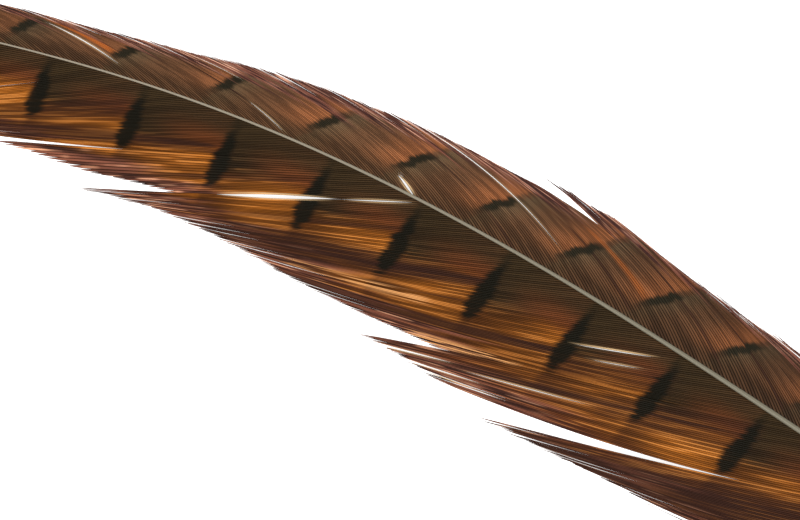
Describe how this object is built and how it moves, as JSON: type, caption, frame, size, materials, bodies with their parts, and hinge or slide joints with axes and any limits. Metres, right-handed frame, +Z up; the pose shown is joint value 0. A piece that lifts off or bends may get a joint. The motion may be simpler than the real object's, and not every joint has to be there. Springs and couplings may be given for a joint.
{
  "type": "pheasant tail feather",
  "caption": "Long curved tail feather lying flat, upper face up: quill and tapering shaft with a wide barred vane, a narrow barred vane and loose down at the base",
  "frame": {"origin": "on the table under the middle of the feather's bounding box", "axes": "+X along the chord from the quill end to the tip, +Y towards the wide vane's side, +Z up, away from the table"},
  "size_m": [0.3428, 0.0438, 0.0034],
  "materials": {
    "shaft": "satin keratin, pale horn at the quill",
    "wide_vane": "satin barbs, golden brown and olive with black bars and a mauve fringe",
    "narrow_vane": "satin barbs, rusty brown with short black bars",
    "down": "soft loose grey-brown down"
  },
  "bodies": {
    "root": {"shaft": "shaft", "down_wide_side": "down", "wide_vane_lock_1": "wide_vane", "wide_vane_lock_2": "wide_vane", "wide_vane_lock_3": "wide_vane", "wide_vane_lock_4": "wide_vane", "wide_vane_lock_5": "wide_vane", "wide_vane_lock_6": "wide_vane", "wide_vane_lock_7": "wide_vane", "wide_vane_lock_8": "wide_vane", "wide_vane_lock_9": "wide_vane", "down_narrow_side": "down", "narrow_vane_lock_1": "narrow_vane", "narrow_vane_lock_2": "narrow_vane", "narrow_vane_lock_3": "narrow_vane", "narrow_vane_lock_4": "narrow_vane", "narrow_vane_lock_5": "narrow_vane", "narrow_vane_lock_6": "narrow_vane", "narrow_vane_lock_7": "narrow_vane", "narrow_vane_lock_8": "narrow_vane", "narrow_vane_lock_9": "narrow_vane", "narrow_vane_lock_10": "narrow_vane", "narrow_vane_lock_11": "narrow_vane"}
  },
  "joints": []
}
